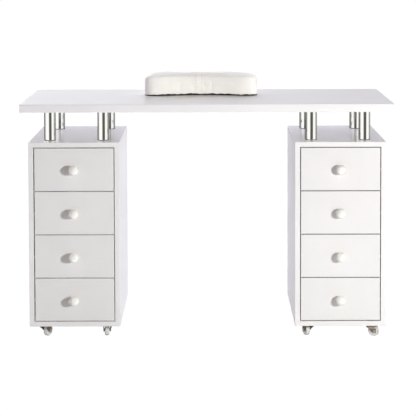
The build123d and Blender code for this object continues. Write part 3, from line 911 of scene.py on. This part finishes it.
# sewn channels: the leather is drawn in along each seam and swells between the puckers
arc_pos = np.where(no[:, 2] > 0.6, y, np.where(y < 0.11, -z, z) + 0.0)
for i, sx in enumerate(SEAMS):
    off = np.abs(x - sx)
    d -= 0.0010 * np.exp(-(off / 0.0017) ** 2) * upper
    d -= 0.0009 * np.exp(-(off / 0.0065) ** 2) * upper
    pull = np.sin(arc_pos * 2 * np.pi / 0.0125 + i * 1.3 + 2.0 * np.sin(arc_pos * 71.0)) * 0.5 + 0.5
    d -= 0.00055 * pull * np.exp(-((off - 0.006) / 0.0055) ** 2) * upper
# drag lines running away from the seams on the front face
front = np.clip((-no[:, 1] - 0.35) / 0.4, 0, 1) * upper
for x0, z0_, slope, amp, width in (
    (-0.047, 0.830, 1.05, 0.0011, 0.0042), (-0.047, 0.812, 0.80, 0.0008, 0.0036),
    (-0.048, 0.838, 0.52, 0.0007, 0.0050), (-0.017, 0.828, -1.00, 0.0011, 0.0042),
    (-0.017, 0.812, -0.75, 0.0007, 0.0036), (-0.016, 0.836, -0.50, 0.0006, 0.0050),
):
    side = -1.0 if slope > 0 else 1.0
    run = side * (x - x0)
    line = z - (z0_ + slope * (x - x0))
    fade = np.clip(run / 0.006, 0, 1) * np.exp(-np.clip(run, 0, None) / 0.020)
    d -= amp * np.exp(-(line / width) ** 2) * fade * front
co = co + no * d[:, None]
# the padding thins out towards the two ends: rounded shoulders
x, y, z = co[:, 0], co[:, 1], co[:, 2]
reach = np.abs(x - PAD_CX) / ((pad_hi.x - pad_lo.x) / 2)
z = z - 0.0075 * np.clip((reach - 0.81) / 0.19, 0, 1.1) ** 2 * rise ** 1.5
z = z + 0.0022 * rise ** 1.3
# boxed edges: the cover stands squarer than the foam at its front rims
level = np.hypot(no[:, 0], no[:, 1])
push = np.where(no[:, 2] < 0, 0.0046, 0.0034) * np.clip(1.0 - level, 0, 1) * np.clip((level - 0.25) / 0.35, 0, 1)
push = push * np.clip((-no[:, 1] / np.maximum(level, 1e-6) + 0.6) / 0.6, 0, 1)
x = x + no[:, 0] / np.maximum(level, 1e-6) * push
y = y + no[:, 1] / np.maximum(level, 1e-6) * push
# the leather hangs over the board: a slightly wavy lower edge, lower at the two ends
edge = base_lo.z + 0.0031 - 0.0019 * np.clip((reach - 0.66) / 0.28, 0, 1) ** 1.2
edge = edge + 0.0006 * np.sin(x * 95.0 + 0.6) + 0.0004 * np.sin(x * 240.0 + y * 90.0)
edge = np.maximum(edge, base_lo.z + 0.0006)
skirt = np.clip((level - 0.22) / 0.25, 0, 1)
top_of = pad_lo.z + 0.014
drop = np.clip((top_of - z) / (top_of - (pad_lo.z + 0.0022)), 0, 1)
z = np.where(z < top_of, z + skirt * (top_of - drop * (top_of - edge) - z), z)
# under the pad it is flat on its board
z = np.where((skirt <= 0.0) & (z < base_hi.z + 0.004), base_hi.z, z)
z = np.maximum(z, np.where(skirt > 0.0, base_lo.z + 0.0006, base_hi.z))
co = np.stack([x, y, z], 1)
put(pad.data, co)
pad.data.polygons.foreach_set("use_smooth", [True] * len(pad.data.polygons))
pad.data.update()
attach(pad, "cushion")
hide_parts("cushion_pad")


# stitches, both sides of each seam, lying on the leather
def stitch_rows():
    co_, _ = fields(pad.data)
    tree = BVHTree.FromPolygons(
        [tuple(p) for p in co_], [tuple(p.vertices) for p in pad.data.polygons]
    )
    parts = []
    for sx in SEAMS:
        for off in (-0.0034, 0.0034):
            xx = sx + off
            line = []
            cy, cz = (pad_lo.y + pad_hi.y) / 2 + 0.012, (pad_lo.z + pad_hi.z) / 2 - 0.004
            for k in range(0, 421):
                a = math.radians(-28 + 236 * k / 420)
                dirn = Vector((0, -math.cos(a), math.sin(a)))
                src = Vector((xx, cy, cz)) + dirn * 0.25
                hit, nor, _, _ = tree.ray_cast(src, -dirn, 0.3)
                if hit is not None and hit.z > pad_lo.z + 0.007:
                    line.append((np.array(hit), np.array(nor)))
            p = np.array([q[0] for q in line])
            nn = np.array([q[1] for q in line])
            s = np.concatenate([[0], np.cumsum(np.linalg.norm(np.diff(p, axis=0), axis=1))])
            at = 0.002
            while at < s[-1] - 0.004:
                pts = [np.array([np.interp(at + q, s, p[:, j]) for j in range(3)]) for q in (0, 0.0029)]
                nv = np.array([np.interp(at + 0.0015, s, nn[:, j]) for j in range(3)])
                nv /= np.linalg.norm(nv)
                ax = pts[1] - pts[0]
                length = np.linalg.norm(ax)
                ax /= length
                side = np.cross(ax, nv)
                mid = (pts[0] + pts[1]) / 2 + nv * 0.00010
                vs, fs = [], []
                steps = [(-0.5, 0.10), (-0.44, 0.62), (-0.3, 0.92), (0.0, 1.0), (0.3, 0.92), (0.44, 0.62), (0.5, 0.10)]
                for u, w in steps:
                    sink = -0.00028 * (2 * u) ** 2
                    for q in range(8):
                        t = 2 * math.pi * q / 8
                        vs.append(tuple(
                            mid + ax * u * length + nv * sink
                            + side * (0.00036 * w * math.cos(t)) + nv * (0.00030 * w * math.sin(t))
                        ))
                for u in range(len(steps) - 1):
                    for q in range(8):
                        r = (q + 1) % 8
                        fs.append((u * 8 + q, u * 8 + r, (u + 1) * 8 + r, (u + 1) * 8 + q))
                fs.append(tuple(range(8)))
                fs.append(tuple(8 * (len(steps) - 1) + q for q in range(8)))
                parts.append((vs, fs))
                at += 0.0040
    return merge(parts)


v, f = stitch_rows()
link("cushion_stitches", make_mesh("stitches", v, f, 60.0), THREAD, "cushion", ["cushion_pad"])

# black base board: the CAD outline with rounded edges
base_mesh = NODES["cushion_base_board"].data.copy()
base_ob = bpy.data.objects.new("cushion_base", base_mesh)
base_mesh.materials.clear()
scene.collection.objects.link(base_ob)
bm = bmesh.new()
bm.from_mesh(base_mesh)
bmesh.ops.remove_doubles(bm, verts=bm.verts, dist=1e-6)
bmesh.ops.dissolve_limit(bm, angle_limit=math.radians(0.5), verts=bm.verts, edges=bm.edges)
rim_edges = [
    e for e in bm.edges
    if len(e.link_faces) == 2 and e.calc_face_angle(0.0) > math.radians(60)
    and abs(e.verts[0].co.z - e.verts[1].co.z) < 1e-6
]
bmesh.ops.bevel(bm, geom=rim_edges, offset=0.0011, segments=3, profile=0.5, affect="EDGES")
bmesh.ops.recalc_face_normals(bm, faces=bm.faces)
bm.to_mesh(base_mesh)
bm.free()
base_mesh.polygons.foreach_set("use_smooth", [True] * len(base_mesh.polygons))
base_mesh.set_sharp_from_angle(angle=math.radians(40))
base_mesh.materials.append(BASE_BLACK)
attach(base_ob, "cushion")
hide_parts("cushion_base_board")

# ---------------------------------------------------------------- camera
cam_data = bpy.data.cameras.new("camera")
cam = bpy.data.objects.new("camera", cam_data)
scene.collection.objects.link(cam)
scene.camera = cam
cam_data.sensor_width = 36.0
cam_data.lens = 1283.212 / 416.0 * 36.0
cam_data.clip_start, cam_data.clip_end = 0.05, 60.0
cam.location = (0.00196, -4.30623, 1.2562)
pitch, yaw, roll = 0.04472, 0.00039, -0.00244
fwd = Vector((math.sin(yaw) * math.cos(pitch), math.cos(yaw) * math.cos(pitch), -math.sin(pitch)))
rgt = Vector((math.cos(yaw), -math.sin(yaw), 0.0))
up = rgt.cross(fwd)
r2 = math.cos(roll) * rgt + math.sin(roll) * up
u2 = -math.sin(roll) * rgt + math.cos(roll) * up
cam.rotation_mode = "QUATERNION"
cam.rotation_quaternion = Matrix((
    (r2.x, u2.x, -fwd.x), (r2.y, u2.y, -fwd.y), (r2.z, u2.z, -fwd.z))).to_quaternion()


def from_photo_place(owner, path, here, elsewhere):
    """a value that holds at the main viewpoint, and another from anywhere else"""
    d = owner.driver_add(path).driver
    d.type = "SCRIPTED"
    for nm, axis in (("px", "LOC_X"), ("py", "LOC_Y"), ("pz", "LOC_Z")):
        var = d.variables.new()
        var.name = nm
        var.type = "TRANSFORMS"
        var.targets[0].id = cam
        var.targets[0].transform_type = axis
        var.targets[0].transform_space = "WORLD_SPACE"
    d.expression = "%r if abs(px - 0.00196) + abs(py + 4.30623) + abs(pz - 1.2562) < 0.002 else %r" % (here, elsewhere)


def photo_switch(tree):
    n = tree.nodes.new("ShaderNodeValue")
    n.name = "main_view"
    n.outputs[0].default_value = 1.0
    from_photo_place(tree, 'nodes["main_view"].outputs[0].default_value', 1.0, 0.0)
    return n.outputs[0]


# the lens is shifted down from this place only; from any other place it is centred
from_photo_place(cam_data, "shift_y", -0.476, 0.0)

# ---------------------------------------------------------------- floor
half = 3.0
fv = [(-half, -half, 0), (half, -half, 0), (half, half, 0), (-half, half, 0)]
floor_me = bpy.data.meshes.new("floor")
floor_me.from_pydata(fv, [], [(0, 1, 2, 3)])
floor = bpy.data.objects.new("floor", floor_me)
scene.collection.objects.link(floor)
fm = bpy.data.materials.new("pale_floor")
fm.use_nodes = True
t = fm.node_tree
t.nodes.clear()
out = t.nodes.new("ShaderNodeOutputMaterial")
paths = t.nodes.new("ShaderNodeLightPath")
paint = node(t, "ShaderNodeBsdfDiffuse", {"Color": (0.85, 0.85, 0.85)})
glow = node(t, "ShaderNodeEmission", {"Color": (1.0, 1.0, 1.0), "Strength": 1.02})
lift = node(t, "ShaderNodeEmission", {"Color": (1.0, 1.0, 1.0), "Strength": 0.30})
shaded = node(t, "ShaderNodeAddShader", {0: paint.outputs[0], 1: lift.outputs[0]})
plain = node(t, "ShaderNodeMixShader", {0: photo_switch(t), 1: shaded.outputs[0], 2: glow.outputs[0]})
mix = node(t, "ShaderNodeMixShader", {0: paths.outputs["Is Camera Ray"], 1: paint.outputs[0], 2: plain.outputs[0]})
t.links.new(mix.outputs[0], out.inputs["Surface"])
floor_me.materials.append(fm)
floor.visible_glossy = False

# ---------------------------------------------------------------- room light
world = bpy.data.worlds.new("studio")
scene.world = world
world.use_nodes = True
t = world.node_tree
t.nodes.clear()
out = t.nodes.new("ShaderNodeOutputWorld")
direction = t.nodes.new("ShaderNodeTexCoord").outputs["Generated"]
axes = node(t, "ShaderNodeSeparateXYZ", {0: direction})
dx, dy, dz = axes.outputs


def six_sided(tree, sides):
    total = None
    for comp, plus, minus in sides:
        for sign, level in ((1.0, plus), (-1.0, minus)):
            part = calc(tree, "MAXIMUM", calc(tree, "MULTIPLY", comp, sign), 0.0)
            part = calc(tree, "MULTIPLY", part, part)
            ins = {0: part, 1: level}
            if total is not None:
                ins[2] = total
            total = node(
                tree, "ShaderNodeVectorMath", ins,
                operation="MULTIPLY_ADD" if total is not None else "MULTIPLY",
            ).outputs[0]
    return total


soft = blend_colour(
    t, photo_switch(t),
    six_sided(t, ((dx, EVEN_PX, EVEN_NX), (dy, EVEN_PY, EVEN_NY), (dz, EVEN_PZ, EVEN_NZ))),
    six_sided(t, ((dx, FILL_PX, FILL_NX), (dy, FILL_PY, FILL_NY), (dz, FILL_PZ, FILL_NZ))),
)
# azimuth round the table, for reflections: 0.5 is towards the back
round_ = calc(t, "ARCTAN2", dx, dy)
round_ = calc(t, "MULTIPLY_ADD", round_, 0.5 / math.pi, 0.5)
ramp = t.nodes.new("ShaderNodeValToRGB")
t.links.new(round_, ramp.inputs[0])
# degrees from the viewer's side, left negative
stops = [
    (-180, (0.18, 0.18, 0.165)), (-150, (0.12, 0.12, 0.108)), (-112, (0.17, 0.17, 0.155)),
    (-94, (0.55, 0.55, 0.52)), (-76, (1.0, 1.0, 1.0)), (-34, (1.06, 1.06, 1.06)),
    (34, (1.06, 1.06, 1.06)), (76, (1.0, 1.0, 1.0)), (94, (0.68, 0.68, 0.66)),
    (112, (0.32, 0.32, 0.30)), (150, (0.24, 0.24, 0.23)), (180, (0.20, 0.20, 0.19)),
]
el = ramp.color_ramp.elements
while len(el) > 1:
    el.remove(el[0])


# the viewer's side sits at the two ends of the ramp, the back in its middle
ordered = sorted([((-a / 360.0) % 1.0, c) for a, c in stops if abs(a) < 180] + [(0.5, (0.19, 0.19, 0.178))])
ordered = [(0.0, (1.06, 1.06, 1.06))] + ordered + [(1.0, (1.06, 1.06, 1.06))]
el[0].position = ordered[0][0]
el[0].color = (*ordered[0][1], 1)
for q, col in ordered[1:]:
    e = el.new(q)
    e.color = (*col, 1)
above = calc(t, "MULTIPLY", spread(t, dz, -0.02, 0.10), spread(t, dy, -0.15, 0.25))
band = blend_colour(t, 1.0, ramp.outputs[0], (GLOSS_ON, GLOSS_ON, GLOSS_ON), "MULTIPLY")
lean = calc(t, "MINIMUM", calc(t, "MAXIMUM", calc(t, "MULTIPLY_ADD", dx, -2.0, 1.0), 0.6), 1.4)
sky = node(t, "ShaderNodeVectorMath", {0: SKY_GLOSS, 3: lean}, operation="SCALE").outputs[0]
gloss = blend_colour(t, above, band, sky)
rays = t.nodes.new("ShaderNodeLightPath")
seen = blend_colour(t, rays.outputs["Is Glossy Ray"], soft, gloss)
seen = blend_colour(t, rays.outputs["Is Camera Ray"], seen, (1.02, 1.02, 1.02))
bg = node(t, "ShaderNodeBackground", {"Color": seen, "Strength": 1.0})
t.links.new(bg.outputs[0], out.inputs["Surface"])
world.cycles.sampling_method = "NONE"


def card(name, corners, shade):
    """studio card that is seen in reflections only"""
    me = bpy.data.meshes.new(name)
    me.from_pydata(corners, [], [(0, 1, 2, 3)])
    ob = bpy.data.objects.new(name, me)
    scene.collection.objects.link(ob)
    mat = bpy.data.materials.new(name)
    mat.use_nodes = True
    mat.cycles.emission_sampling = "NONE"
    nt = mat.node_tree
    nt.nodes.clear()
    shade(nt, nt.nodes.new("ShaderNodeOutputMaterial"))
    me.materials.append(mat)
    for flag in ("visible_camera", "visible_diffuse", "visible_transmission", "visible_volume_scatter", "visible_shadow"):
        setattr(ob, flag, False)
    return ob


DARK_CARD_X, DARK_CARD_Y = 1.15, -6.0


def dark_shade(nt, o):
    """dark in the middle, as bright as the room at its two ends"""
    at = nt.nodes.new("ShaderNodeNewGeometry").outputs["Position"]
    x = node(nt, "ShaderNodeSeparateXYZ", {0: at}).outputs[0]
    off = calc(nt, "ABSOLUTE", calc(nt, "SUBTRACT", x, DARK_CARD_X))
    tone = blend_colour(nt, spread(nt, off, 2.1, 4.1), (0.105, 0.100, 0.074), (1.06, 1.06, 1.06))
    glow_ = node(nt, "ShaderNodeEmission", {"Color": tone, "Strength": GLOSS_ON})
    nt.links.new(glow_.outputs[0], o.inputs["Surface"])


def under_shade(colour, only_main):
    """dim to rays that climb, open to the rest"""

    def shade(nt, o):
        inc = nt.nodes.new("ShaderNodeNewGeometry").outputs["Incoming"]
        up_ = calc(nt, "LESS_THAN", node(nt, "ShaderNodeSeparateXYZ", {0: inc}).outputs[2], 0.0)
        if only_main:
            up_ = calc(nt, "MULTIPLY", up_, photo_switch(nt))
        clear = nt.nodes.new("ShaderNodeBsdfTransparent")
        glow_ = node(nt, "ShaderNodeEmission", {"Color": colour, "Strength": UNDER_GLOSS})
        both = node(nt, "ShaderNodeMixShader", {0: up_, 1: clear.outputs[0], 2: glow_.outputs[0]})
        nt.links.new(both.outputs[0], o.inputs["Surface"])

    return shade


w = 4.5
card(
    "dark_card",
    [(DARK_CARD_X + sx * w, DARK_CARD_Y, z_) for sx, z_ in ((-1, -3), (1, -3), (1, 4), (-1, 4))], dark_shade,
)
card(
    "card_behind", [(-0.95, 0.36, 0.60), (0.95, 0.36, 0.60), (0.95, 0.36, 0.744), (-0.95, 0.36, 0.744)],
    under_shade((1.0, 0.98, 1.04), True),
)
card(
    "card_under_top", [(-0.6, -0.225, 0.744), (0.6, -0.225, 0.744), (0.6, 0.36, 0.744), (-0.6, 0.36, 0.744)],
    under_shade((0.85, 0.83, 0.86), False),
)


def key_light(name, colour, law, elsewhere=3.6):
    """disk lamp aimed at the table, weakening as 1/r or not at all"""
    lamp = bpy.data.lights.new(name, "AREA")
    lamp.shape = "DISK"
    lamp.size = KEY_SIZE
    lamp.energy = 10.0
    from_photo_place(lamp, "energy", 10.0, elsewhere)
    lamp.use_nodes = True
    nt = lamp.node_tree
    nt.nodes.clear()
    o = nt.nodes.new("ShaderNodeOutputLight")
    fall = node(nt, "ShaderNodeLightFalloff", {"Strength": 1.0, "Smooth": 0.0})
    em = node(nt, "ShaderNodeEmission", {"Color": (*colour, 1.0), "Strength": fall.outputs[law]})
    nt.links.new(em.outputs[0], o.inputs["Surface"])
    ob = bpy.data.objects.new(name, lamp)
    scene.collection.objects.link(ob)
    ob.location = KEY_AT
    ob.rotation_euler = (Vector((0.0, -0.1, 0.45)) - Vector(KEY_AT)).to_track_quat("-Z", "Y").to_euler()
    ob.visible_camera = False
    ob.visible_glossy = False
    return ob


key_light("key_near", KEY_LINEAR, "Linear")
key_light("key_even", KEY_CONSTANT, "Constant")

# two small lamps, from the right and from above, that reach the cushion alone
lit_by_them = bpy.data.collections.new("cushion_lit")
for ob in scene.objects:
    if ob.type == "MESH" and ob.name.startswith("cushion"):
        lit_by_them.objects.link(ob)
for nm, colour, place in (
    ("key_cushion_side", (0.105, 0.082, 0.070), (1.93, -1.46, 1.45)),
    ("key_cushion_top", (0.062, 0.074, 0.056), (-0.30, 0.90, 2.20)),
):
    lamp = key_light(nm, colour, "Constant", 0.0)
    lamp.location = place
    lamp.rotation_euler = (Vector((-0.02, 0.1, 0.81)) - Vector(place)).to_track_quat("-Z", "Y").to_euler()
    lamp.light_linking.receiver_collection = lit_by_them

scene.view_settings.view_transform = "Standard"
scene.view_settings.look = "None"
scene.view_settings.exposure = 0.0
scene.view_settings.gamma = 1.0
